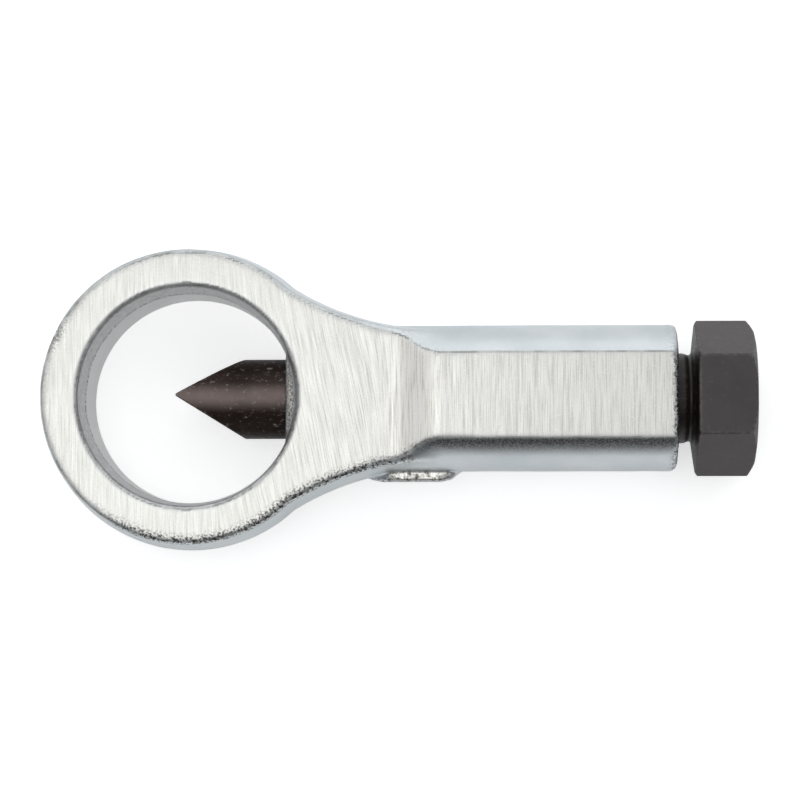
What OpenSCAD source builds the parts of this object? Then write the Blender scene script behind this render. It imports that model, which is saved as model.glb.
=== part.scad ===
// Ring nut splitter: a drop-forged ring with a bored shank, a chisel that slides
// into the ring, and a hexagon-headed screw that drives the chisel.
// Millimetres. X runs along the screw towards its head, Z along the ring's axis,
// and the origin is the middle of the ring.

/* [Ring] */
// Narrowest width of the hole that takes the nut
ring_hole = 32.6; // [30:0.2:36]
// Outside width of the ring at its parting plane
ring_width = 47.2; // [45:0.2:52]
// Thickness of the ring between its ground faces
ring_thick = 16.8; // [16:0.2:19]
// Draft of the forged sides, in degrees
draft = 6.5; // [3:0.5:9]
// Depth of the tapered mouth below the front face
mouth_depth = 5.4; // [2:0.2:8]
// How much the mouth widens the hole on the radius
mouth_flare = 0.55; // [0.2:0.05:1]
// Broken edge around the ground faces
edge_break = 0.4; // [0.2:0.05:0.6]

/* [Neck] */
// Radius of the hollow curve from the ring to the shank
neck_radius = 43; // [30:1:60]
// Distance from the foot of the rising face to the end of the neck
ramp_lead = 7; // [6:0.1:9]
// Radius of that rise, seen from the side
ramp_radius = 12; // [8:1:20]
// Length of the shoulders between neck and shank
shoulder_length = 8.6; // [7:0.1:10]
// Fall of the shoulders to the sides, in degrees
shoulder_slope = 38.8; // [35:0.1:42]
// Fall of the shoulders towards the screw, in degrees
shoulder_turn = 10.2; // [9:0.1:12]
// Length of the trimmed flash lug under the neck
lug_length = 11; // [8:0.5:14]
// How far the lug stands out from the shank's side
lug_height = 1.7; // [1:0.1:2.5]
// Thickness of the lug at its root
lug_thick = 3.2; // [2:0.2:5]
// Rough flat in the hole around the chisel, as a depth from the hole's wall
pad_rise = 1.2; // [0.6:0.1:1.6]
// Height of that flat on each side of the middle
pad_half = 6.9; // [6.6:0.1:7.5]

/* [Shank] */
// Width of the shank
shank_width = 22.5; // [21:0.1:26]
// Thickness of the shank between its ground flats
shank_thick = 20.4; // [19.5:0.1:24]
// Corner radius of the forged bar
shank_corner = 9.4; // [7:0.1:10]
// Depth that is ground off the bar to make each flat
grind_depth = 1.25; // [0.8:0.05:1.6]
// Distance from the ring's middle to the end of the shank
shank_end = 75.2; // [70:0.2:85]
// Chamfer round the end of the shank
end_chamfer = 0.5; // [0.2:0.1:1]

/* [Chisel] */
// Diameter of the chisel
chisel_d = 12.4; // [11:0.1:12.5]
// Length of the chisel
chisel_length = 37; // [34:0.5:38]
// How far the cutting edge stands past the ring's middle
chisel_reach = 2; // [0:0.1:2.6]
// Angle between the two cutting faces, in degrees
edge_angle = 60.6; // [50:0.2:70]
// Width of the blunt land on the cutting edge
edge_land = 0.3; // [0.1:0.1:0.8]
// Width of the keyway under the chisel
key_width = 3.1; // [2.5:0.1:4]
// Depth of the keyway
key_depth = 1.3; // [0.8:0.1:1.5]
// Chamfer round the rear end of the chisel
rear_chamfer = 0.6; // [0.3:0.1:1]
// Depth of the ball's middle below the rear end
ball_depth = 7.5; // [7:0.1:8]
// Depth of the snap ring below the rear end
wire_depth = 3; // [2.5:0.1:3.5]
// Place of the guide pin along the bore
pin_place = 27.5; // [27:0.1:28.5]

/* [Screw] */
// Outside diameter of the thread
screw_d = 14; // [13:0.5:14]
// Width of the hexagon across its flats
head_flats = 21; // [19:0.5:24]
// Height of the hexagon head
head_height = 9; // [7:0.1:12]
// Space between the shank and the head in the pose shown
head_gap = 3; // [2.4:0.1:6]
// Diameter of the spigot that turns in the chisel
spigot_d = 6; // [5:0.1:6.4]
// Diameter of the ball that takes the thrust
ball_d = 5; // [4:0.1:5]
// Wire thickness of the snap ring
wire_d = 1; // [0.8:0.1:1.2]
// Gap between the ends of the snap ring, in degrees
wire_gap = 40; // [20:5:90]

/* [Fits] */
// Radial clearance of parts that slide or turn in each other
running = 0.05; // [0.02:0.01:0.08]
// Radial clearance of parts that are seated for good
seated = 0.01; // [0.005:0.005:0.02]
// Free space between end faces that never meet
free_end = 1; // [0.6:0.1:1.2]

/* [Hidden] */
$fn = 96;
lap = 0.3;
ring_r = ring_width / 2;
hole_r = ring_hole / 2;
ring_half = ring_thick / 2;
shank_half = shank_thick / 2;
shank_side = shank_width / 2;
chisel_r = chisel_d / 2;
screw_r = screw_d / 2;
spigot_r = spigot_d / 2;
ball_r = ball_d / 2;
wire_r = wire_d / 2;
head_r = head_flats / 2;
// middle of the hollow neck curve
neck_y = shank_side + neck_radius - lap;
neck_x = sqrt(pow(ring_r + neck_radius - lap, 2) - pow(neck_y, 2));
neck_top = ring_r * neck_y / (ring_r + neck_radius);
neck_root = ring_r * neck_x / (ring_r + neck_radius) - 3;
ramp_start = neck_x - ramp_lead;
lug_root = ramp_start - lug_length / 3;
flat_side = shank_side - shank_corner + sqrt(grind_depth * (2 * shank_corner - grind_depth));
// chisel, ball and screw along the axis
tip_x = -chisel_reach;
chisel_end = tip_x + chisel_length;
nose_x = chisel_end + free_end;
ball_x = chisel_end - ball_depth;
wire_x = chisel_end - wire_depth;
wire_ring_r = spigot_r + wire_r * 0.3;
head_x = shank_end + head_gap;
bore_step = chisel_end - head_gap + lap;
pin_r = key_width / 2 - running;
key_front = tip_x + chisel_r / tan(edge_angle / 2) + lap;
key_back = pin_place + head_gap + key_width / 2;

// frame: ring, neck, shank and lug in one forging
module frame() {
    color("silver")
    difference() {
        union() {
            ring_body();
            neck_and_shank();
            flash_lug();
        }
        nut_hole();
        frame_bore();
        translate([pin_place, 0, -ring_thick])
            cylinder(h = ring_thick, r = pin_r + seated);
    }
}

// ring: two drafted halves meeting at the parting plane
module ring_body() {
    face_r = ring_r - ring_half * tan(draft);
    rim_r = face_r + edge_break * tan(draft);
    rotate_extrude()
        polygon([
            [0, -ring_half],
            [face_r - edge_break, -ring_half],
            [rim_r, edge_break - ring_half],
            [ring_r, 0],
            [rim_r, ring_half - edge_break],
            [face_r - edge_break, ring_half],
            [0, ring_half]
        ]);
}

// neck and shank: forged in one, then ground front and back to one profile
module neck_and_shank() {
    intersection() {
        union() {
            neck_block();
            shank_bar();
        }
        rotate([90, 0, 0])
            linear_extrude(2 * neck_top + 2, center = true)
                ground_profile();
    }
    shank_tip();
}

module ground_profile() {
    difference() {
        translate([neck_root, -shank_half])
            square([shank_end - end_chamfer - neck_root, shank_thick]);
        for (side = [-1, 1]) {
            translate([ramp_start, side * (ring_half + ramp_radius)])
                circle(ramp_radius);
            translate([neck_root - 1, side * (ring_half + ramp_radius) - ramp_radius])
                square([ramp_start - neck_root + 1, 2 * ramp_radius]);
        }
    }
}

// neck: a block hollowed on both sides by drafted curves, with four shoulders
// that lead into the round of the shank
module neck_block() {
    difference() {
        translate([neck_root, -neck_top, -shank_half - 1])
            cube([neck_x - neck_root, 2 * neck_top, shank_thick + 2]);
        for (side = [-1, 1])
            translate([neck_x, side * neck_y, 0])
                neck_cutter();
        for (side = [0, 1], face = [0, 1])
            mirror([0, side, 0])
                mirror([0, 0, face])
                    shoulder_cutter();
    }
}

module shoulder_cutter() {
    translate([neck_x, flat_side - lap, shank_half])
        rotate([-shoulder_slope, 0, 0])
            rotate([0, shoulder_turn, 0])
                translate([-shoulder_length, -ring_half, 0])
                    cube([2 * shoulder_length, 2 * shank_half, ring_half]);
}

module neck_cutter() {
    rim = neck_radius + (ring_half - edge_break) * tan(draft);
    face = neck_radius + ring_half * tan(draft) + edge_break;
    over = face + edge_break;
    top = shank_half + 2;
    rotate_extrude($fn = 180)
        polygon([
            [0, -top],
            [over, -top],
            [over, -ring_half - edge_break],
            [face, -ring_half],
            [rim, edge_break - ring_half],
            [neck_radius, 0],
            [rim, ring_half - edge_break],
            [face, ring_half],
            [over, ring_half + edge_break],
            [over, top],
            [0, top]
        ]);
}

// shank: rounded bar with a chamfered end
module shank_bar() {
    start = ramp_start - ring_half;
    translate([start, 0, 0])
        rotate([90, 0, 90])
            linear_extrude(shank_end - end_chamfer - start)
                bar_section(0);
}

module shank_tip() {
    hull() {
        translate([shank_end - end_chamfer - lap, 0, 0])
            rotate([90, 0, 90])
                linear_extrude(lap)
                    shank_section(0);
        translate([shank_end - end_chamfer, 0, 0])
            rotate([90, 0, 90])
                linear_extrude(end_chamfer)
                    shank_section(end_chamfer);
    }
}

module bar_section(inset) {
    flat = shank_side - shank_corner;
    rise = shank_half + grind_depth - shank_corner;
    square([2 * flat, 2 * (rise + shank_corner - inset)], center = true);
    square([shank_width - 2 * inset, 2 * rise], center = true);
    for (y = [-flat, flat], z = [-rise, rise])
        translate([y, z])
            circle(shank_corner - inset);
}

module shank_section(inset) {
    intersection() {
        bar_section(inset);
        square([shank_width + 2, shank_thick - 2 * inset], center = true);
    }
}

// lug: what is left of the flash after trimming, ground level on its front
module flash_lug() {
    low = -shank_side - lug_height;
    root = lug_height - shank_side;
    half = lug_thick / 2;
    end = lug_root + lug_length;
    intersection() {
        linear_extrude(lug_thick, center = true)
            polygon([
                [lug_root, root],
                [lug_root, low + edge_break],
                [lug_root + lug_height, low],
                [end, low],
                [end + lug_height, low + edge_break],
                [end + lug_thick, -shank_side],
                [end + lug_thick, root]
            ]);
        translate([lug_root - 1, 0, 0])
            rotate([90, 0, 90])
                linear_extrude(lug_length + lug_thick + 2)
                    polygon([
                        [root, half],
                        [-shank_side, half],
                        [low + edge_break, 0.7 * half],
                        [low, 0.4 * half],
                        [low, -0.4 * half],
                        [-shank_side, -half],
                        [root, -half]
                    ]);
    }
}

// hole for the nut: a straight land with a tapered mouth at the front, and a
// flat where the chisel comes through
module nut_hole() {
    mouth_r = hole_r + mouth_flare;
    difference() {
        rotate_extrude()
            polygon([
                [0, -ring_half - 1],
                [hole_r + edge_break + 1, -ring_half - 1],
                [hole_r, edge_break - ring_half],
                [hole_r, ring_half - mouth_depth],
                [mouth_r, ring_half - edge_break],
                [mouth_r + edge_break + 1, ring_half + 1],
                [0, ring_half + 1]
            ]);
        translate([hole_r - pad_rise, -hole_r, -pad_half])
            cube([hole_r, 2 * hole_r, 2 * pad_half]);
    }
}

// bore: chisel guide first, screw bore behind it, countersunk at the end
module frame_bore() {
    guide_r = chisel_r + running;
    bore_r = screw_r + running;
    translate([hole_r - 6, 0, 0])
        rotate([0, 90, 0])
            cylinder(h = bore_step - hole_r + 7, r = guide_r);
    translate([bore_step, 0, 0])
        rotate([0, 90, 0])
            cylinder(h = shank_end - bore_step + 1, r = bore_r);
    translate([shank_end - 0.7, 0, 0])
        rotate([0, 90, 0])
            cylinder(h = 1, r1 = bore_r - 0.1, r2 = bore_r + 0.9);
}

// guide pin: pressed in from the back, its tip in the keyway
module guide_pin() {
    tip = chisel_r - key_depth + 0.25;
    color("dimgray")
    translate([pin_place, 0, -ring_half + 0.3])
        cylinder(h = ring_half - 0.3 - tip, r = pin_r);
}

// chisel: hardened rod ground to a wedge, with a socket behind
module chisel() {
    groove_r = wire_r + running;
    color("dimgray")
    difference() {
        translate([tip_x, 0, 0])
            rotate([0, 90, 0])
                chisel_blank();
        for (side = [0, 1])
            mirror([0, side, 0])
                cutting_side();
        keyway();
        translate([ball_x, 0, 0])
            rotate([0, 90, 0])
                cylinder(h = chisel_end - ball_x + 1, r = spigot_r + 2 * running);
        translate([ball_x, 0, 0])
            sphere(ball_r + seated);
        translate([wire_x, 0, 0])
            rotate([0, 90, 0])
                rotate_extrude()
                    translate([wire_ring_r, 0])
                        circle(groove_r);
    }
}

module chisel_blank() {
    rotate_extrude()
        polygon([
            [0, 0],
            [chisel_r, 0],
            [chisel_r, chisel_length - rear_chamfer],
            [chisel_r - rear_chamfer, chisel_length],
            [0, chisel_length]
        ]);
}

module cutting_side() {
    run = chisel_d / tan(edge_angle / 2);
    linear_extrude(chisel_d + 2, center = true)
        polygon([
            [tip_x - 1, edge_land / 2],
            [tip_x, edge_land / 2],
            [tip_x + run, edge_land / 2 + chisel_d],
            [tip_x - 1, edge_land / 2 + chisel_d]
        ]);
}

module keyway() {
    half = key_width / 2;
    translate([0, 0, -chisel_r - 1]) {
        translate([key_front + half, -half, 0])
            cube([key_back - key_front - half, key_width, key_depth + 1]);
        for (x = [key_front + half, key_back])
            translate([x, 0, 0])
                cylinder(h = key_depth + 1, r = half);
    }
}

// thrust ball: carries the screw's push to the chisel
module thrust_ball() {
    color("silver")
    translate([ball_x, 0, 0])
        sphere(ball_r);
}

// snap ring: lets the screw pull the chisel back
module snap_ring() {
    color("gray")
    translate([wire_x, 0, 0])
        rotate([0, 90, 0])
            rotate([0, 0, wire_gap / 2])
                rotate_extrude(angle = 360 - wire_gap)
                    translate([wire_ring_r, 0])
                        circle(wire_r, $fn = 32);
}

// drive screw: hexagon head, threaded stem and spigot in one piece
module drive_screw() {
    color("dimgray")
    union() {
        screw_head();
        screw_stem();
    }
}

module screw_head() {
    under_r = 1.1 * head_r;
    end_r = head_r;
    out_r = 1.2 * head_r;
    translate([head_x, 0, 0])
        rotate([0, 90, 0])
            intersection() {
                rotate([0, 0, 30])
                    cylinder(h = head_height, r = head_r / cos(30), $fn = 6);
                rotate_extrude()
                    polygon([
                        [0, 0],
                        [under_r, 0],
                        [out_r, (out_r - under_r) * tan(30)],
                        [out_r, head_height - (out_r - end_r) * tan(30)],
                        [end_r, head_height],
                        [0, head_height]
                    ]);
            }
}

module screw_stem() {
    groove_r = wire_r + running;
    spigot_x = ball_x + 1;
    difference() {
        translate([spigot_x, 0, 0])
            rotate([0, 90, 0])
                rotate_extrude()
                    polygon([
                        [0, 0],
                        [spigot_r - 0.5, 0],
                        [spigot_r, 0.5],
                        [spigot_r, nose_x - spigot_x],
                        [screw_r - 1.1, nose_x - spigot_x],
                        [screw_r, nose_x - spigot_x + 1.1],
                        [screw_r, head_x - spigot_x - 0.6],
                        [screw_r + 0.5, head_x - spigot_x - 0.1],
                        [screw_r + 0.5, head_x - spigot_x + 1],
                        [0, head_x - spigot_x + 1]
                    ]);
        translate([ball_x, 0, 0])
            sphere(ball_r + running);
        translate([wire_x, 0, 0])
            rotate([0, 90, 0])
                rotate_extrude()
                    translate([wire_ring_r, 0])
                        circle(groove_r);
    }
}

frame();
guide_pin();
chisel();
thrust_ball();
snap_ring();
drive_screw();
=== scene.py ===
import math

import bmesh
import bpy
import numpy as np
from mathutils import Matrix, Vector, noise


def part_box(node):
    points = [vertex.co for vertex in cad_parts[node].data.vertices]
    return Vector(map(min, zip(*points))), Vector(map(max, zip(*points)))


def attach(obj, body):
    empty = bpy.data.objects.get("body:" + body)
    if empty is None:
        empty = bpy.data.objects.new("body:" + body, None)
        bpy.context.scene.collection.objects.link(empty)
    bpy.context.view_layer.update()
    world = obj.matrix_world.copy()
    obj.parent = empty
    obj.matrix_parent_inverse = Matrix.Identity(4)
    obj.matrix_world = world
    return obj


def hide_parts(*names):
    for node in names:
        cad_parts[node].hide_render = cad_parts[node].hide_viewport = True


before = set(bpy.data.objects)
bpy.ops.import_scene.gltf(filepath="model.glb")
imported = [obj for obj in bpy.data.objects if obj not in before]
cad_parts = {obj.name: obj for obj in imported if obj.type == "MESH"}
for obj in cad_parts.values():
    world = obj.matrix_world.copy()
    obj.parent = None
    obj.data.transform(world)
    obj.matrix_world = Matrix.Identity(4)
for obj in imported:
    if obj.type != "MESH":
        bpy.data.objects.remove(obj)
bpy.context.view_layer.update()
scene = bpy.context.scene
mm = 0.001
weldGap = 0.002           # mm, points nearer than this become one
cutSlack = 0.0001         # mm, slack of a plane cut
noiseSpan = (0.3, 0.7)    # where most values of a noise texture lie
evenPull = (0.5, -0.52)   # smoothing in and out again, so that nothing shrinks
plainPull = (0.5,)        # smoothing that may shrink
print("frame loaded:", sorted(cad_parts))


# camera, as the photograph sees the tool
cameraPlace = {
    "target": (32.46, -0.15, 0.0),   # mm
    "distance": 414.7,               # mm
    "yaw": 2.07,                     # degrees towards the screw
    "pitch": 3.9,                    # degrees below square-on
    "fieldOfView": 17.11,            # degrees
    "nearest": 10.0,                 # mm, nothing closer is drawn
}


def makeCamera(place):
    yaw = math.radians(place["yaw"])
    pitch = math.radians(place["pitch"])
    away = Vector((math.sin(yaw) * math.cos(pitch), -math.sin(pitch), math.cos(yaw) * math.cos(pitch)))
    lens = bpy.data.cameras.new("camera")
    lens.angle = math.radians(place["fieldOfView"])
    lens.clip_start = place["nearest"] * mm
    camera = bpy.data.objects.new("camera", lens)
    right = Vector((0, 1, 0)).cross(away).normalized()
    camera.rotation_euler = Matrix((right, away.cross(right), away)).transposed().to_euler()
    camera.location = (Vector(place["target"]) + away * place["distance"]) * mm
    scene.collection.objects.link(camera)
    scene.camera = camera


makeCamera(cameraPlace)
print("camera placed")


# node helpers
def put(tree, kind, settings=None, values=None, links=None):
    made = tree.nodes.new(kind)
    for name, value in (settings or {}).items():
        setattr(made, name, value)
    for name, value in (values or {}).items():
        made.inputs[name].default_value = value
    for name, source in (links or {}).items():
        tree.links.new(source, made.inputs[name])
    return made


def feed(tree, socket, value):
    if isinstance(value, bpy.types.NodeSocket):
        tree.links.new(value, socket)
    elif isinstance(value, tuple):
        socket.default_value = (*value, 1.0)
    else:
        socket.default_value = value


def startMaterial(name):
    material = bpy.data.materials.new(name)
    material.use_nodes = True
    tree = material.node_tree
    tree.nodes.clear()
    shader = put(tree, "ShaderNodeBsdfPrincipled")
    put(tree, "ShaderNodeOutputMaterial", links={"Surface": shader.outputs["BSDF"]})
    return material, tree, shader


def mask(tree, name):
    return put(tree, "ShaderNodeAttribute", {"attribute_name": name}).outputs["Fac"]


def stretched(tree, vector, scale, detail=3.0, rough=0.55):
    mapped = put(tree, "ShaderNodeMapping", values={"Scale": scale}, links={"Vector": vector})
    return put(tree, "ShaderNodeTexNoise",
               values={"Scale": 1.0, "Detail": detail, "Roughness": rough},
               links={"Vector": mapped.outputs["Vector"]}).outputs["Fac"]


def speckle(tree, place, count, detail=3.0, rough=0.55):
    return stretched(tree, place, (count, count, count), detail, rough)


def ramp(tree, source, stops):
    made = put(tree, "ShaderNodeValToRGB", links={"Fac": source})
    bands = made.color_ramp.elements
    while len(bands) < len(stops):
        bands.new(0.5)   # its place is set below
    for band, (place, colour) in zip(bands, stops):
        band.position = place
        band.color = (*colour, 1.0)
    return made.outputs["Color"]


def mottle(tree, source, dark, light):
    return ramp(tree, source, list(zip(noiseSpan, (dark, light))))


def rescale(tree, source, low, high, newLow=0.0, newHigh=1.0):
    return put(tree, "ShaderNodeMapRange", {"interpolation_type": "SMOOTHSTEP"},
               {"From Min": low, "From Max": high, "To Min": newLow, "To Max": newHigh},
               {"Value": source}).outputs["Result"]


def maths(tree, kind, first, second):
    made = put(tree, "ShaderNodeMath", {"operation": kind})
    feed(tree, made.inputs[0], first)
    feed(tree, made.inputs[1], second)
    return made.outputs["Value"]


def blendColour(tree, amount, first, second):
    made = put(tree, "ShaderNodeMix", {"data_type": "RGBA"}, links={0: amount})
    feed(tree, made.inputs[6], first)    # sockets 6 and 7 take colours
    feed(tree, made.inputs[7], second)
    return made.outputs[2]


def blendValue(tree, amount, first, second):
    made = put(tree, "ShaderNodeMix", {"data_type": "FLOAT"}, links={0: amount})
    feed(tree, made.inputs[2], first)    # sockets 2 and 3 take numbers
    feed(tree, made.inputs[3], second)
    return made.outputs[0]


def addBump(tree, shader, height, depth, strength=1.0):
    bump = put(tree, "ShaderNodeBump", values={"Strength": strength, "Distance": depth * mm},
               links={"Height": height})
    tree.links.new(bump.outputs["Normal"], shader.inputs["Normal"])


# mesh helpers
def cutAway(bm, place, way):
    everything = bm.verts[:] + bm.edges[:] + bm.faces[:]
    bmesh.ops.bisect_plane(bm, geom=everything, dist=cutSlack * mm, plane_co=(place * mm, 0, 0),
                           plane_no=(way, 0, 0), clear_inner=True)


def mergedCopy(node, name, keepFrom=None):
    bm = bmesh.new()
    bm.from_mesh(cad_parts[node].data)
    bmesh.ops.remove_doubles(bm, verts=bm.verts, dist=weldGap * mm)
    if keepFrom is not None:
        cutAway(bm, keepFrom, 1)
        rim = [edge for edge in bm.edges if edge.is_boundary]
        bmesh.ops.holes_fill(bm, edges=rim, sides=0)
        bmesh.ops.recalc_face_normals(bm, faces=bm.faces)
    return finishMesh(bm, name)


def finishMesh(bm, name):
    mesh = bpy.data.meshes.new(name)
    bm.to_mesh(mesh)
    bm.free()
    piece = bpy.data.objects.new(name, mesh)
    scene.collection.objects.link(piece)
    return piece


def remesh(piece, voxel):
    change = piece.modifiers.new("remesh", "REMESH")
    change.mode = "VOXEL"
    change.voxel_size = voxel * mm
    graph = bpy.context.evaluated_depsgraph_get()
    finer = bpy.data.meshes.new_from_object(piece.evaluated_get(graph))
    piece.modifiers.clear()
    old = piece.data
    piece.data = finer
    bpy.data.meshes.remove(old)
    finer.name = piece.name


def readMesh(mesh):
    count = len(mesh.vertices)
    points = np.empty(count * 3)
    normals = np.empty(count * 3)
    edges = np.empty(len(mesh.edges) * 2, dtype=np.int64)
    mesh.vertices.foreach_get("co", points)
    mesh.vertices.foreach_get("normal", normals)
    mesh.edges.foreach_get("vertices", edges)
    return points.reshape(-1, 3) / mm, normals.reshape(-1, 3), edges.reshape(-1, 2)


def writePoints(mesh, points):
    mesh.vertices.foreach_set("co", (points * mm).ravel())
    mesh.update()


def neighbourMean(values, edges):
    table = values.reshape(len(values), -1)
    first, second = edges[:, 0], edges[:, 1]
    count = len(table)
    degree = np.bincount(first, minlength=count) + np.bincount(second, minlength=count)
    columns = [np.bincount(first, table[second, k], count) + np.bincount(second, table[first, k], count)
               for k in range(table.shape[1])]
    return (np.stack(columns, axis=1) / degree[:, None]).reshape(values.shape)


def spread(values, edges, rounds=1):
    for _ in range(rounds):
        values = neighbourMean(values, edges)
    return values


def relax(points, edges, weight, rounds, pulls=evenPull):
    for _ in range(rounds):
        for pull in pulls:
            points = points + pull * weight[:, None] * (neighbourMean(points, edges) - points)
    return points


def smoothStep(low, high, values):
    t = np.clip((values - low) / (high - low), 0.0, 1.0)
    return t * t * (3 - 2 * t)


def between(values, rise, fall):
    return smoothStep(*rise, values) * (1.0 - smoothStep(*fall, values))


def spot(x, y, place, size, height):
    return height * np.exp(-((x - place[0]) ** 2 + (y - place[1]) ** 2) / size)


def noiseAt(points, size, shift):
    return np.array([noise.noise(Vector(p) / size + Vector((shift, shift, shift))) for p in points])


def edgeMask(points, normals, edges, full):
    bulge = -np.einsum("ij,ij->i", neighbourMean(points, edges) - points, normals)
    return np.clip(neighbourMean(bulge, edges) / full, 0.0, 1.0)


def store(mesh, name, values):
    kind = "FLOAT" if values.ndim == 1 else "FLOAT_VECTOR"
    made = mesh.attributes.new(name, kind, "POINT")
    made.data.foreach_set("value" if kind == "FLOAT" else "vector", values.astype(np.float32).ravel())


def smoothShade(mesh):
    mesh.polygons.foreach_set("use_smooth", np.ones(len(mesh.polygons), dtype=bool))
    mesh.update()


# forged frame: satin zinc on the sides, ground faces front and back
forging = {
    "voxel": 0.388,         # mm between mesh points
    "rounds": 6,            # smoothing of the forged skin
    "blendRounds": 14,      # softening beside the ramp
    "outlineRounds": 7,     # softening of the ramp's own outline
    # ground faces
    "ringFace": 8.4,        # mm, height of the ground ring and neck
    "shankFace": 10.2,      # mm, height of the ground shank
    "faceSlack": 0.25,      # mm below the ring's face that still counts as face
    "faceOut": 0.82,        # least share of the normal out of a ground face
    "faceAcross": 0.3,      # most share of it across the tool
    "ramp": (30.9, 39.3),   # mm, where the ground face rises from ring to shank
    "insideRounds": 3,      # mesh points over which the faces' outlines are blurred
    "hold": (0.6, 1.0),     # blurred face, from here on it is ground true
    "nearRamp": ((26.0, 30.0), (41.0, 46.0)),   # mm, where softening comes and goes
    "besideHeight": (3.6, 5.4),                 # mm, softening grows with height
    "outline": ((0.02, 0.2), (0.85, 1.0)),      # blurred face along an outline
    # flash lug
    "leaf": (30.6, 40.2),   # mm, bright trimmed face of the lug
    "leafTop": -11.15,      # mm
    "leafFace": 1.6,        # mm
    "leafOut": 0.5,         # least share of the normal out of that face
    "leafFoot": 0.6,        # mm, lower points stay as forged
    # skin, edges and bore
    "edge": 0.055,          # mm, bulge of a full edge
    "hole": (17.2, 15.9),   # mm, radius and end of the ring's hole
    "boreSpace": (7.3, 14.0),    # mm, radius and start of the bore
    "bore": 0.16,           # mm, room left round the chisel and the thread
    "boreFacing": (-0.4, -0.8),  # walls that look at the axis
    "axisGuard": 0.1,       # mm, least distance from the axis
    "wave": 0.03,           # mm, unevenness of the forged skin
    "waves": ((7.0, 1.0, 0.0), (2.6, 0.5, 4.0), (1.1, 0.25, 9.0)),   # size in mm, share, shift
    "nick": 0.16,           # mm, depth of knocks along the edges
    "knocks": 0.55,         # share of it everywhere
    "knockNoise": (1.3, 2.0),        # size in mm, shift
    "knockBand": (0.05, 0.5),
    "bruise": ((-20.4, 10.0), 7.0, 2.0),   # place in mm, size, strength of the worst knock
    "lowKnocks": 0.55,      # more knocks on the lower edge
    "lowSide": (0.0, -8.0),          # mm
    "lowAlong": (-6.0, 2.0),         # mm
    "holeCalm": 0.7,        # fewer knocks round the hole
    # marks
    "groundRounds": 2,      # mesh points over which ground fades into skin
    "lean": 0.2,            # sideways lean of the grinding lines on the neck
    "leanPlace": ((2.0, 14.0), (26.0, 33.0)),   # mm, where the lean comes and goes
    "plain": 0.5,           # calmer grinding lines on the ring
    "plainPlace": (10.0, 30.0),      # mm
    "slope": (0.03, 0.2),            # share of the normal along the tool
    "worked": (0.25, 1.0),           # long streaks on ring and shank
    "workedPlace": (28.0, 50.0),     # mm
    "pitRounds": 5,         # mesh points that pits reach from an edge
    "pitWidth": (0.04, 4.0),         # start and gain
    "pitFew": 0.15,         # pits on all outer edges
    "pitLow": (-5.0, -10.0),         # mm, many on the lower edge
    "pitAlong": ((-16.0, -6.0), (34.0, 37.0)),  # mm
    "pitOutside": (18.4, 20.4),      # mm from the ring's middle
    "bruisePits": ((-20.6, 9.6), 6.0, 0.55),    # place in mm, size, strength
    "endPits": 0.85,        # pits on the shank's end
    "endAlong": (74.0, 74.8),        # mm
    "endHeight": (8.5, 5.5),         # mm
    "paintedReflectionSide": (-4.5, -6.0),         # mm, painted dark reflection under the shank's flat
    "paintedReflectionAlong": (28.0, 34.0),       # mm
    "paintedReflectionHeight": (7.6, 10.0),       # mm
    "padStart": 14.9,       # mm, scuffed rest below the chisel
    "padReach": 16.6,       # mm from the ring's middle
    "padHeight": (6.0, 7.6),         # mm
    "padOut": 0.7,          # least share of the normal out of it
    "seam": 3.1,            # mm, where the punched hole meets the flared mouth
    "seamWander": 0.5,      # mm
    "seamNoise": (2.2, 6.0),         # size in mm, shift
    "seamBlend": 0.3,       # mm
    "seamWidth": 0.45,      # mm
}


def groundFaces(points, normals):
    across, out = np.abs(normals[:, 1]), np.abs(normals[:, 2])
    high = np.abs(points[:, 2]) > forging["ringFace"] - forging["faceSlack"]
    return (high & (out > forging["faceOut"]) & (across < forging["faceAcross"])).astype(float)


def grindFaces(mesh):
    points, normals, edges = readMesh(mesh)
    ground = groundFaces(points, normals)
    points = relax(points, edges, np.ones(len(points)), forging["rounds"])
    low, high = forging["ringFace"], forging["shankFace"]
    rise = low + (high - low) * smoothStep(*forging["ramp"], points[:, 0])
    inside = spread(ground, edges, forging["insideRounds"])
    hold = smoothStep(*forging["hold"], inside)   # away from the outlines the faces are ground true
    points[:, 2] += hold * (np.sign(points[:, 2]) * rise - points[:, 2])
    near = between(points[:, 0], *forging["nearRamp"])
    beside = (1.0 - ground) * near * smoothStep(*forging["besideHeight"], np.abs(points[:, 2]))
    points = relax(points, edges, beside, forging["blendRounds"], plainPull)
    outline = near * between(inside, *forging["outline"])
    points = relax(points, edges, outline, forging["outlineRounds"], plainPull)
    writePoints(mesh, points)


def trimLug(mesh):
    points, normals, edges = readMesh(mesh)
    x, y, z = points.T
    first, last = forging["leaf"]
    leaf = (y < forging["leafTop"]) & (x > first) & (x < last)
    leaf &= (normals[:, 2] > forging["leafOut"]) & (z > forging["leafFoot"])
    leaf = spread(leaf.astype(float), edges)
    points[:, 2] += leaf * (forging["leafFace"] - z)
    writePoints(mesh, points)
    return leaf


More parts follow.
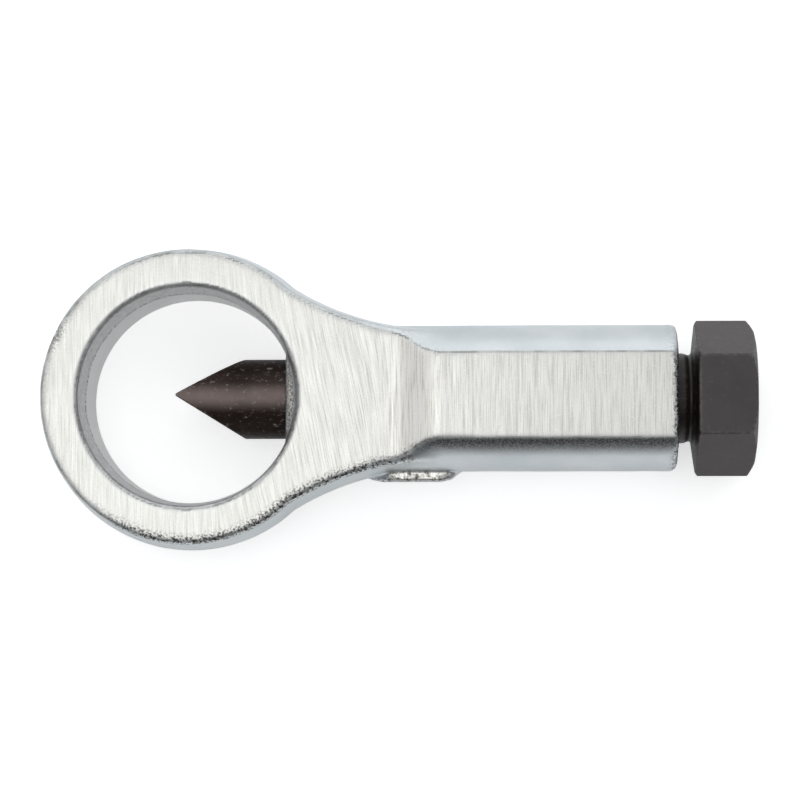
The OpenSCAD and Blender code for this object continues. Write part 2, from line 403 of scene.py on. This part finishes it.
def knockEdges(mesh):
    points, normals, edges = readMesh(mesh)
    x, y, z = points.T
    ground = groundFaces(points, normals)
    edge = edgeMask(points, normals, edges, forging["edge"])
    holeReach, holeEnd = forging["hole"]
    inner = ((np.hypot(x, y) < holeReach) & (x < holeEnd)).astype(float)
    reach = np.maximum(np.hypot(y, z), forging["axisGuard"])
    boreReach, boreStart = forging["boreSpace"]
    bore = ((reach < boreReach) & (x > boreStart)).astype(float)
    free = (1.0 - ground) * (1.0 - inner) * (1.0 - bore)
    wave = sum(share * noiseAt(points, size, shift) for size, share, shift in forging["waves"])
    knocks = smoothStep(*forging["knockBand"], noiseAt(points, *forging["knockNoise"]))
    battered = forging["knocks"] + spot(x, y, *forging["bruise"])
    lowEdge = smoothStep(*forging["lowSide"], y) * smoothStep(*forging["lowAlong"], x)
    battered += forging["lowKnocks"] * lowEdge
    calm = (1.0 - bore) * (1.0 - forging["holeCalm"] * inner)
    depth = forging["nick"] * edge * knocks * battered * calm
    knocked = points + normals * (forging["wave"] * wave * free - depth)[:, None]
    facing = (normals[:, 1] * y + normals[:, 2] * z) / reach
    room = forging["bore"] * bore * smoothStep(*forging["boreFacing"], facing)
    knocked[:, 1:] += knocked[:, 1:] * (room / reach)[:, None]
    knocked[:, 2] = np.clip(knocked[:, 2], -forging["shankFace"], forging["shankFace"])
    writePoints(mesh, knocked)
    return {"points": points, "normals": normals, "edges": edges, "ground": ground, "edge": edge,
            "inner": inner}


def markPits(skin):
    x, y, _ = skin["points"].T
    heavy = forging["pitFew"] + smoothStep(*forging["pitLow"], y) * between(x, *forging["pitAlong"])
    heavy *= smoothStep(*forging["pitOutside"], np.hypot(x, y))
    heavy += spot(x, y, *forging["bruisePits"])
    shankEnd = smoothStep(*forging["endAlong"], x) * smoothStep(*forging["endHeight"], y)
    heavy += forging["endPits"] * shankEnd
    start, gain = forging["pitWidth"]
    wide = spread(skin["edge"], skin["edges"], forging["pitRounds"])
    return np.clip(gain * (wide - start), 0.0, 1.0) * np.minimum(heavy, 1.0) * (1.0 - skin["inner"])


def markForging(mesh, skin, leaf):
    normals, edges, inner = skin["normals"], skin["edges"], skin["inner"]
    x, y, z = skin["points"].T
    ground = spread(skin["ground"], edges, forging["groundRounds"])
    lean = forging["lean"] * between(x, *forging["leanPlace"])
    few, many = forging["worked"]
    # painted reflection: a dark flecked band under the shank's flat stands in for a dark surrounding seen
    # in the metal
    paintedReflection = smoothStep(*forging["paintedReflectionSide"], y) * smoothStep(*forging["paintedReflectionAlong"], x)
    paintedReflection *= (1.0 - ground) * smoothStep(*forging["paintedReflectionHeight"], np.abs(z))
    foot, top = forging["padHeight"]
    pad = (x > forging["padStart"]) & (np.hypot(x, y) < forging["padReach"]) & (z > foot) & (z < top)
    pad &= normals[:, 2] > forging["padOut"]
    knocked = readMesh(mesh)[0]
    seam = forging["seam"] + forging["seamWander"] * noiseAt(knocked, *forging["seamNoise"])
    blend = forging["seamBlend"]
    marks = {
        "lay": np.stack([x + lean * y, y, z], axis=1),
        "ground": ground,
        "rim": 4.0 * ground * (1.0 - ground),   # 1 halfway between ground and skin
        "plain": forging["plain"] * (1.0 - smoothStep(*forging["plainPlace"], x)),
        "slope": ground * smoothStep(*forging["slope"], np.abs(normals[:, 0])),
        "worked": ground * (few + (many - few) * smoothStep(*forging["workedPlace"], x)),
        "edge": skin["edge"],
        "pitted": markPits(skin),
        "paintedReflection": paintedReflection,
        "rough": leaf,
        "scuffed": spread(pad.astype(float), edges),
        "deep": smoothStep(blend, -blend, z - seam),
        "seam": np.exp(-((z - seam) / forging["seamWidth"]) ** 2) * inner,
        "inner": spread(inner, edges),
    }
    for name, values in marks.items():
        store(mesh, name, values)


def makeForging():
    piece = mergedCopy("frame", "forgedFrame")
    remesh(piece, forging["voxel"])
    mesh = piece.data
    grindFaces(mesh)
    leaf = trimLug(mesh)
    skin = knockEdges(mesh)
    markForging(mesh, skin, leaf)
    smoothShade(mesh)
    mesh.materials.append(zincMaterial())
    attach(piece, "frame")
    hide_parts("frame")
    return piece


# finish of the forging
zinc = {
    # noise: cells a millimetre or a metre, detail, roughness
    "lines": ((6.5, 0.16, 0.5), 3.0, 0.6),
    "streaks": ((2.2, 0.06, 0.3), 2.0),
    "grain": (2600, 3.0, 0.6),
    "cloud": (110, 3.0),
    "specks": (1500, 4.0, 0.7),
    "patches": (260, 3.0, 0.6),
    "flecks": (3600, 3.0, 0.6),
    "chips": (2500, 2.0, 0.5),
    # colours over that noise
    "brushed": ((0.28, (0.58, 0.57, 0.53)), (0.48, (0.78, 0.775, 0.735)), (0.72, (0.88, 0.875, 0.84))),
    "rusty": ((0.3, (0.55, 0.51, 0.45)), (0.48, (0.88, 0.865, 0.815)), (0.66, (0.97, 0.96, 0.92))),
    "chipped": ((0.38, (0.12, 0.115, 0.10)), (0.5, (0.56, 0.55, 0.52)), (0.64, (0.82, 0.81, 0.78))),
    "gritty": ((0.38, (0.10, 0.095, 0.09)), (0.62, (0.52, 0.50, 0.48))),
    "satin": ((0.62, 0.665, 0.685), (0.72, 0.755, 0.77)),
    "mouth": ((0.50, 0.50, 0.505), (0.74, 0.74, 0.745)),
    "land": ((0.72, 0.73, 0.735), (0.80, 0.805, 0.81)),
    "calm": (0.80, 0.795, 0.75),
    "wearAndPaintedHighlight": (0.60, 0.59, 0.55),
    "bright": (0.93, 0.925, 0.90),
    "dull": (0.55, 0.54, 0.50),
    # dark colour of the edge lines and pits, and of the painted dark reflection under the shank's flat
    "darkMarksAndPaintedReflection": (0.10, 0.095, 0.09),
    # how noise or a mark turns into an amount: from, to, least, most
    "wornStreaks": (0.5, 0.32, 0.0, 0.7),
    "brightFlecks": (0.55, 0.72, 0.0, 0.5),
    "dullFlecks": (0.42, 0.30, 0.0, 0.3),
    "edgeLines": (0.36, 0.8),
    "rimLines": (0.66, 1.0, 0.0, 0.9),
    "lineBreaks": (0.38, 0.62, 0.4, 0.95),
    "pits": (0.47, 0.57),
    # flecks of the painted dark reflection under the shank's flat
    "paintedReflectionFlecks": (0.36, 0.62, 0.6, 0.97),
    # roughness and relief
    "groundRoughness": (0.46, 0.38),
    "sideRoughness": (0.34, 0.44),
    "lugRoughness": 0.3,
    "lineHeight": 0.6,
    "streakHeight": 0.5,
    "grainHeight": 0.3,
    "bump": 0.007,          # mm
}


def zincColour(tree, noises, marks):
    lines, flecks, specks, cloud = (noises[name] for name in ("lines", "flecks", "specks", "cloud"))
    brushed = blendColour(tree, marks["plain"], ramp(tree, lines, zinc["brushed"]), zinc["calm"])
    brushed = blendColour(tree, marks["slope"], brushed, ramp(tree, lines, zinc["rusty"]))
    wearAndPaintedHighlight = maths(tree, "MULTIPLY", marks["worked"], rescale(tree, noises["streaks"], *zinc["wornStreaks"]))
    brushed = blendColour(tree, wearAndPaintedHighlight, brushed, zinc["wearAndPaintedHighlight"])
    brushed = blendColour(tree, rescale(tree, flecks, *zinc["brightFlecks"]), brushed, zinc["bright"])
    brushed = blendColour(tree, rescale(tree, flecks, *zinc["dullFlecks"]), brushed, zinc["dull"])
    colour = blendColour(tree, marks["ground"], mottle(tree, cloud, *zinc["satin"]), brushed)
    hole = blendColour(tree, marks["deep"], mottle(tree, specks, *zinc["mouth"]),
                       mottle(tree, cloud, *zinc["land"]))
    colour = blendColour(tree, marks["inner"], colour, hole)
    colour = blendColour(tree, marks["scuffed"], colour, ramp(tree, flecks, zinc["gritty"]))
    lined = maths(tree, "MAXIMUM", rescale(tree, marks["edge"], *zinc["edgeLines"]),
                  rescale(tree, marks["rim"], *zinc["rimLines"]))
    edgeLinesAndPaintedHighlight = maths(tree, "MULTIPLY", lined, rescale(tree, noises["patches"], *zinc["lineBreaks"]))
    pits = maths(tree, "MULTIPLY", maths(tree, "MAXIMUM", marks["pitted"], marks["seam"]),
                 rescale(tree, noises["chips"], *zinc["pits"]))
    # painted reflection: dark flecks in the band under the shank's flat
    paintedReflectionFlecks = maths(tree, "MULTIPLY", marks["paintedReflection"], rescale(tree, flecks, *zinc["paintedReflectionFlecks"]))
    # darker along edges and in pits, and in the painted reflection band
    darkMarksAndPaintedReflection = maths(tree, "MAXIMUM", maths(tree, "MAXIMUM", edgeLinesAndPaintedHighlight, pits), paintedReflectionFlecks)
    colour = blendColour(tree, darkMarksAndPaintedReflection, colour, zinc["darkMarksAndPaintedReflection"])
    return blendColour(tree, marks["rough"], colour, ramp(tree, specks, zinc["chipped"]))


def zincMaterial():
    material, tree, shader = startMaterial("zinc")
    place = put(tree, "ShaderNodeTexCoord").outputs["Object"]
    lay = put(tree, "ShaderNodeAttribute", {"attribute_name": "lay"}).outputs["Vector"]
    noises = {name: stretched(tree, lay, *zinc[name]) for name in ("lines", "streaks")}
    for name in ("grain", "cloud", "specks", "patches", "flecks", "chips"):
        noises[name] = speckle(tree, place, *zinc[name])
    names = ("ground", "rim", "plain", "slope", "worked", "edge", "pitted", "paintedReflection", "rough", "scuffed",
             "deep", "seam", "inner")
    marks = {name: mask(tree, name) for name in names}
    tree.links.new(zincColour(tree, noises, marks), shader.inputs["Base Color"])
    shader.inputs["Metallic"].default_value = 1.0

    onGround = rescale(tree, noises["lines"], *noiseSpan, *zinc["groundRoughness"])
    onSide = rescale(tree, noises["grain"], *noiseSpan, *zinc["sideRoughness"])
    roughness = blendValue(tree, marks["ground"], onSide, onGround)
    roughness = blendValue(tree, marks["rough"], roughness, zinc["lugRoughness"])
    tree.links.new(roughness, shader.inputs["Roughness"])

    groundHeight = maths(tree, "ADD", maths(tree, "MULTIPLY", noises["lines"], zinc["lineHeight"]),
                         maths(tree, "MULTIPLY", noises["streaks"], zinc["streakHeight"]))
    sideHeight = maths(tree, "MULTIPLY", noises["grain"], zinc["grainHeight"])
    addBump(tree, shader, blendValue(tree, marks["ground"], sideHeight, groundHeight), zinc["bump"])
    return material


# black oxide, shared by the chisel and the screw
oxide = {
    "cloud": (160, 4.0, 0.6),        # cells a metre, detail, roughness
    "grain": (3200, 3.0),
    "specks": ((1100, 1500, 1500), 5.0, 0.75),
    # near-black of the painted shade on the screw's neck and under its head
    "paintedShadeTone": (0.010, 0.005, 0.004),
    # lighter brown of the painted highlight along the chisel's rod
    "edgeLinesAndPaintedHighlight": (0.23, 0.18, 0.165),
    "highlightCloud": (0.2, 0.8, 0.6, 1.0),   # from, to, least, most
    "bare": (0.30, 0.28, 0.27),
    "bareSpecks": (0.57, 0.68),
    "edgeSpecks": (0.46, 0.60),
    "edgeShare": 0.5,
    "roughness": (0.30, 0.44),
    "bump": 0.006,                   # mm
}


def oxideMaterial(name, finish):
    material, tree, shader = startMaterial(name)
    place = put(tree, "ShaderNodeTexCoord").outputs["Object"]
    cloud = speckle(tree, place, *oxide["cloud"])
    grain = speckle(tree, place, *oxide["grain"])
    specks = stretched(tree, place, *oxide["specks"])
    colour = mottle(tree, cloud, finish["dark"], finish["light"])
    # painted shade: near-black on the screw's neck and the head's underside, where the shade mark is set
    colour = blendColour(tree, mask(tree, "paintedShade"), colour, oxide["paintedShadeTone"])
    # painted highlight: a lighter band along the chisel's rod, where its band mark is set
    edgeLinesAndPaintedHighlight = maths(tree, "MULTIPLY", mask(tree, "wearAndPaintedHighlight"), rescale(tree, cloud, *oxide["highlightCloud"]))
    colour = blendColour(tree, edgeLinesAndPaintedHighlight, colour, oxide["edgeLinesAndPaintedHighlight"])
    bare = maths(tree, "MULTIPLY", rescale(tree, specks, *oxide["bareSpecks"]), finish["pale"])
    wearAndPaintedHighlight = maths(tree, "MULTIPLY", mask(tree, "edge"), rescale(tree, specks, *oxide["edgeSpecks"]))
    bare = maths(tree, "MAXIMUM", bare, maths(tree, "MULTIPLY", wearAndPaintedHighlight, oxide["edgeShare"]))
    colour = blendColour(tree, bare, colour, oxide["bare"])
    tree.links.new(colour, shader.inputs["Base Color"])
    tree.links.new(rescale(tree, grain, *noiseSpan, *oxide["roughness"]), shader.inputs["Roughness"])
    addBump(tree, shader, grain, oxide["bump"])
    shader.inputs["Specular IOR Level"].default_value = finish["shine"]
    shader.inputs["Specular Tint"].default_value = (*finish["sheen"], 1.0)
    return material


# chisel: ground wedge on a round rod
wedge = {
    "voxel": 0.17,        # mm between mesh points
    "soften": 0.8,        # strength and rounds of the smoothing
    "rounds": 4,
    "edgeLift": 0.36,     # mm, cutting edge above the rod's middle
    "tip": -2.0,          # mm along the screw's axis
    "shoulder": 8.4,      # mm, where the wedge ends
    "edge": 0.03,         # mm, bulge of a full edge
    "highlightWidth": (2.6, 0.2),     # mm, painted highlight band along the rod
    "highlightFacing": (0.75, 0.95),     # share of the normal out of the tool's face, where the painted highlight lies
    "dark": (0.010, 0.005, 0.003),
    "light": (0.024, 0.015, 0.012),
    "pale": 0.7,          # bare specks
    "shine": 0.2,
    "sheen": (1.0, 0.82, 0.76),
}


def makeChisel():
    piece = mergedCopy("chisel", "wedgeChisel")
    remesh(piece, wedge["voxel"])
    mesh = piece.data
    points, _, edges = readMesh(mesh)
    points = relax(points, edges, np.full(len(points), wedge["soften"]), wedge["rounds"])
    taper = 1.0 - np.clip((points[:, 0] - wedge["tip"]) / (wedge["shoulder"] - wedge["tip"]), 0.0, 1.0)
    points[:, 1] += wedge["edgeLift"] * taper
    low, high = (np.array(corner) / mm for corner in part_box("chisel"))
    points = np.clip(points, low, high)
    writePoints(mesh, points)
    points, normals, edges = readMesh(mesh)
    store(mesh, "edge", edgeMask(points, normals, edges, wedge["edge"]))
    # painted highlight along the rod's front, where it faces up to the lamp
    wearAndPaintedHighlight = smoothStep(*wedge["highlightWidth"], np.abs(points[:, 1]))
    store(mesh, "wearAndPaintedHighlight", wearAndPaintedHighlight * smoothStep(*wedge["highlightFacing"], np.abs(normals[:, 2])))
    smoothShade(mesh)
    mesh.materials.append(oxideMaterial("chiselOxide", wedge))
    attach(piece, "chisel")
    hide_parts("chisel")
    return piece


# drive screw: hexagon head with its neck, and the threaded stem
hexHead = {
    "voxel": 0.17,        # mm between mesh points
    "soften": 0.8,        # strength and rounds of the smoothing
    "rounds": 3,
    "cut": 74.8,          # mm, where the neck meets the thread
    "flats": 21.0,        # mm across
    "flatSlack": 0.12,    # mm, points this near to a flat lie on it
    "faces": (78.2, 87.2),   # mm, underside and end
    "endSlack": 0.1,      # mm, points this near to a face lie on it
    "square": 0.97,       # least share of the normal out of a flat or face
    "relief": 0.28,       # mm, depth of the turned relief under the head
    "reliefPlace": 77.2,  # mm
    "reliefWidth": 0.55,  # mm
    "neckRadius": 7.0,    # mm
    "neckShort": 0.25,    # mm below the underside that the relief leaves alone
    "neckOut": 0.5,       # most share of the normal along the neck
    "edge": 0.03,         # mm, bulge of a full edge
    "paintedShadeBlend": 0.1,     # mm, blend of the painted shade at the underside
    "paintedShadeFacing": (-0.3, -0.6),   # share of the normal towards the shank, where shade is painted
    "dark": (0.055, 0.045, 0.047),
    "light": (0.070, 0.060, 0.062),
    "pale": 0.10,         # bare specks
    "shine": 0.38,
    "sheen": (1.0, 1.0, 1.0),
}


def makeHead():
    piece = mergedCopy("drive_screw", "hexHead", hexHead["cut"])
    remesh(piece, hexHead["voxel"])
    mesh = piece.data
    points, normals, edges = readMesh(mesh)
    points = relax(points, edges, np.full(len(points), hexHead["soften"]), hexHead["rounds"])
    for turn in range(6):
        angle = math.radians(90 + 60 * turn)
        out = np.array([0.0, math.cos(angle), math.sin(angle)])
        gap = points @ out - hexHead["flats"] / 2
        onFlat = (np.abs(gap) < hexHead["flatSlack"]) & (normals @ out > hexHead["square"])
        points[onFlat] -= gap[onFlat, None] * out
    under, end = hexHead["faces"]
    for place, way in ((under, -1), (end, 1)):
        onEnd = np.abs(points[:, 0] - place) < hexHead["endSlack"]
        onEnd &= normals[:, 0] * way > hexHead["square"]
        points[onEnd, 0] = place
    along = points[:, 0]
    onNeck = (along < under - hexHead["neckShort"]) & (np.abs(normals[:, 0]) < hexHead["neckOut"])
    relief = hexHead["relief"] * np.exp(-((along - hexHead["reliefPlace"]) / hexHead["reliefWidth"]) ** 2)
    points[:, 1:] *= np.where(onNeck, 1.0 - relief / hexHead["neckRadius"], 1.0)[:, None]
    low, high = (np.array(corner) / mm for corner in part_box("drive_screw"))
    points = np.clip(points, low, high)
    writePoints(mesh, points)
    points, normals, edges = readMesh(mesh)
    store(mesh, "edge", edgeMask(points, normals, edges, hexHead["edge"]))
    # painted shade: the neck under the head and the faces turned towards the shank are made near-black
    neck = 1.0 - smoothStep(under - hexHead["paintedShadeBlend"], under + hexHead["paintedShadeBlend"], points[:, 0])
    store(mesh, "paintedShade", np.maximum(neck, smoothStep(*hexHead["paintedShadeFacing"], normals[:, 0])))
    smoothShade(mesh)
    mesh.materials.append(oxideMaterial("screwOxide", hexHead))
    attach(piece, "screw")
    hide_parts("drive_screw")
    return piece


thread = {
    "pitch": 1.5,          # mm
    "crest": 6.98,         # mm radius
    "root": 6.1,           # mm radius
    "flanks": (0.19, 0.66, 0.84, 1.31),   # mm along one pitch
    "steps": 60,           # mesh steps a turn
    "lead": 1.5,           # turns made before the nose, and cut off again
    "spare": 2,            # turns made beyond the length
    "nose": 36.0,          # mm, front end of the thread
    "noseRadius": 5.9,     # mm, where the chamfer starts
    "end": 74.8,           # mm, where the plain neck starts
    "neckRadius": 7.0,     # mm
    "runOut": 2.4,         # mm over which the thread fades out
    "seamGap": 0.001,      # mm, turns nearer than this are joined
    "rimSlack": 0.01,      # mm
    "sharp": 28,           # degrees, sharper bends keep a crisp edge
    "spigot": ((36.0, 3.0), (32.6, 3.0), (32.35, 2.72), (31.65, 2.72), (31.4, 3.0), (29.0, 3.0),
               (28.5, 2.5), (28.5, 2.36), (29.3, 1.85), (29.85, 0.95)),   # mm, place and radius
    "edge": 0.1,           # mm, bulge of a full edge
    "dark": (0.036, 0.032, 0.032),
    "light": (0.058, 0.053, 0.053),
    "pale": 0.2,           # bare specks
    "shine": 0.5,
    "sheen": (1.0, 1.0, 1.0),
}


def windThread(bm):
    pitch, crest, root, steps = (thread[name] for name in ("pitch", "crest", "root", "steps"))
    turns = math.ceil((thread["end"] - thread["nose"]) / pitch) + thread["spare"]
    start = thread["nose"] - thread["lead"] * pitch
    places = (0.0, *thread["flanks"], pitch)
    outline = zip(places, (root, root, crest, crest, root, root))
    corners = [bm.verts.new(((start + along) * mm, 0.0, up * mm)) for along, up in outline]
    sides = [bm.edges.new(pair) for pair in zip(corners, corners[1:])]
    bmesh.ops.spin(bm, geom=corners + sides, cent=(0, 0, 0), axis=(1, 0, 0),
                   dvec=(pitch * mm / steps, 0, 0), angle=2 * math.pi * turns, steps=steps * turns,
                   use_merge=False)
    bmesh.ops.remove_doubles(bm, verts=bm.verts, dist=thread["seamGap"] * mm)
    cutAway(bm, thread["nose"], 1)
    cutAway(bm, thread["end"], -1)
    for vert in bm.verts:
        along = vert.co.x / mm
        reach = math.hypot(vert.co.y, vert.co.z) / mm
        fade = min(max((along - thread["end"] + thread["runOut"]) / thread["runOut"], 0.0), 1.0)
        wanted = reach + (thread["neckRadius"] - reach) * fade
        wanted = min(wanted, thread["noseRadius"] + along - thread["nose"])
        vert.co.yz = vert.co.yz * (wanted / reach)


def makeThread():
    bm = bmesh.new()
    windThread(bm)
    rims = [edge for edge in bm.edges if edge.is_boundary]
    loop = [edge for edge in rims if abs(edge.verts[0].co.x / mm - thread["nose"]) < thread["rimSlack"]]
    rear = [edge for edge in rims if edge not in loop]
    for along, reach in thread["spigot"]:
        grown = bmesh.ops.extrude_edge_only(bm, edges=loop)["geom"]
        loop = [item for item in grown if isinstance(item, bmesh.types.BMEdge) and item.is_boundary]
        for vert in {vert for edge in loop for vert in edge.verts}:
            wide = math.hypot(vert.co.y, vert.co.z) / mm
            vert.co = (along * mm, vert.co.y * reach / wide, vert.co.z * reach / wide)
    bmesh.ops.edgeloop_fill(bm, edges=loop)
    bmesh.ops.edgeloop_fill(bm, edges=rear)
    bmesh.ops.recalc_face_normals(bm, faces=bm.faces)
    piece = finishMesh(bm, "threadedStem")
    mesh = piece.data
    smoothShade(mesh)
    mesh.set_sharp_from_angle(angle=math.radians(thread["sharp"]))
    points, normals, edges = readMesh(mesh)
    store(mesh, "edge", edgeMask(points, normals, edges, thread["edge"]))
    mesh.materials.append(oxideMaterial("threadOxide", thread))
    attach(piece, "screw")
    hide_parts("drive_screw")
    return piece


# small steel pieces that stay as the frame has them
steel = {
    "cloud": (500, 3.0),             # cells a metre, detail
    "scratch": ((900, 5200, 5200), 3.0),
    "roughSpan": 0.15,
    "bump": 0.004,                   # mm
    "bumpStrength": 0.5,
    "ball": ((0.70, 0.70, 0.71), (0.80, 0.80, 0.80), 0.12),   # dark, light, least roughness
    "pin": ((0.34, 0.34, 0.35), (0.48, 0.48, 0.48), 0.28),
    "wire": ((0.30, 0.30, 0.31), (0.42, 0.42, 0.43), 0.3),
}


def steelMaterial(name, dark, light, rough):
    material, tree, shader = startMaterial(name)
    place = put(tree, "ShaderNodeTexCoord").outputs["Object"]
    cloud = speckle(tree, place, *steel["cloud"])
    scratch = stretched(tree, place, *steel["scratch"])
    tree.links.new(mottle(tree, cloud, dark, light), shader.inputs["Base Color"])
    roughness = rescale(tree, scratch, *noiseSpan, rough, rough + steel["roughSpan"])
    tree.links.new(roughness, shader.inputs["Roughness"])
    shader.inputs["Metallic"].default_value = 1.0
    addBump(tree, shader, scratch, steel["bump"], steel["bumpStrength"])
    return material


def dressNode(node, material):
    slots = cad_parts[node].data.materials
    slots.clear()
    slots.append(material)


# floor, world and lamp
studio = {
    "middle": 0.03,        # m along the tool, below the lamp
    "floor": -10.5,        # mm, the head's lower flat stands on it
    "floorSize": 1.6,      # m across
    "floorSides": 96,
    "floorDark": (0.925, 0.925, 0.925),
    "floorLight": (0.935, 0.935, 0.935),
    "floorGrain": 400,     # cells a metre, fine mottling of the white sheet
    "floorRoughness": 0.9,
    "floorLift": 0.56,     # added for the camera, so the floor stays white
    "floorGloss": 0.18,    # added for reflections in the metal
    "zenith": 0.62,        # light from above
    "horizon": 0.60,       # light from the sides
    "climb": (0.0, 0.9),   # height over which horizon turns into zenith
    "upside": 0.55,        # more light from the side above the tool
    "upsideWay": (0.2, 0.8),
    "shade": 0.75,         # how far the side below the tool is darkened
    "shadeWay": (-0.25, -0.7),
    "shadeTop": (0.9, 0.65),
    "shadeFoot": (0.0, 0.35),
    "lightColour": (0.97, 0.985, 1.0, 1.0),
    "lampPower": 0.30,     # W
    "lampSize": 0.22,      # m
    "lampPlace": (-0.07, 0.01, 0.62),   # m
}
white = (1.0, 1.0, 1.0, 1.0)


def makeFloor():
    bm = bmesh.new()
    bmesh.ops.create_circle(bm, cap_ends=True, segments=studio["floorSides"],
                            radius=studio["floorSize"] / 2)
    bmesh.ops.translate(bm, verts=bm.verts, vec=(studio["middle"], 0.0, studio["floor"] * mm))
    floor = finishMesh(bm, "floor")
    material, tree, shader = startMaterial("floor")
    place = put(tree, "ShaderNodeTexCoord").outputs["Object"]
    paper = speckle(tree, place, studio["floorGrain"])
    shade = mottle(tree, paper, studio["floorDark"], studio["floorLight"])
    tree.links.new(shade, shader.inputs["Base Color"])
    shader.inputs["Roughness"].default_value = studio["floorRoughness"]
    shader.inputs["Specular IOR Level"].default_value = 0.0
    shader.inputs["Emission Color"].default_value = white
    rays = put(tree, "ShaderNodeLightPath").outputs
    lift = maths(tree, "ADD", maths(tree, "MULTIPLY", rays["Is Camera Ray"], studio["floorLift"]),
                 maths(tree, "MULTIPLY", rays["Is Glossy Ray"], studio["floorGloss"]))
    tree.links.new(lift, shader.inputs["Emission Strength"])
    floor.data.materials.append(material)


def makeWorld():
    world = bpy.data.worlds.new("studio")
    world.use_nodes = True
    scene.world = world
    tree = world.node_tree
    tree.nodes.clear()
    way = put(tree, "ShaderNodeSeparateXYZ",
              links={0: put(tree, "ShaderNodeTexCoord").outputs["Generated"]}).outputs
    level = rescale(tree, way["Z"], *studio["climb"], studio["horizon"], studio["zenith"])
    more = rescale(tree, way["Y"], *studio["upsideWay"], 0.0, studio["upside"])
    level = maths(tree, "ADD", level, more)
    below = rescale(tree, way["Y"], *studio["shadeWay"])
    low = maths(tree, "MULTIPLY", rescale(tree, way["Z"], *studio["shadeTop"]),
                rescale(tree, way["Z"], *studio["shadeFoot"]))
    dark = maths(tree, "MULTIPLY", maths(tree, "MULTIPLY", below, low), studio["shade"])
    strength = maths(tree, "MULTIPLY", level, maths(tree, "SUBTRACT", 1.0, dark))
    light = put(tree, "ShaderNodeBackground", values={"Color": studio["lightColour"]},
                links={"Strength": strength})
    backdrop = put(tree, "ShaderNodeBackground", values={"Color": white, "Strength": 1.0})
    seen = put(tree, "ShaderNodeLightPath").outputs["Is Camera Ray"]
    both = put(tree, "ShaderNodeMixShader", links={0: seen, 1: light.outputs[0], 2: backdrop.outputs[0]})
    put(tree, "ShaderNodeOutputWorld", links={"Surface": both.outputs[0]})


def makeLamp():
    lamp = bpy.data.lights.new("lamp", "AREA")
    lamp.energy = studio["lampPower"]
    lamp.size = studio["lampSize"]
    holder = bpy.data.objects.new("lamp", lamp)
    holder.location = studio["lampPlace"]
    back = Vector(studio["lampPlace"]) - Vector((studio["middle"], 0.0, 0.0))
    holder.rotation_euler = back.to_track_quat("Z", "Y").to_euler()
    scene.collection.objects.link(holder)


makeFloor()
makeWorld()
makeLamp()
scene.view_settings.view_transform = "Standard"
print("studio ready")

forged = makeForging()
print("forged frame:", len(forged.data.polygons), "faces")
rod = makeChisel()
print("chisel:", len(rod.data.polygons), "faces")
head = makeHead()
print("hexagon head:", len(head.data.polygons), "faces")
stem = makeThread()
print("threaded stem:", len(stem.data.polygons), "faces")
dressNode("thrust_ball", steelMaterial("ballSteel", *steel["ball"]))
dressNode("guide_pin", steelMaterial("pinSteel", *steel["pin"]))
dressNode("snap_ring", steelMaterial("wireSteel", *steel["wire"]))
print("small steel pieces dressed")
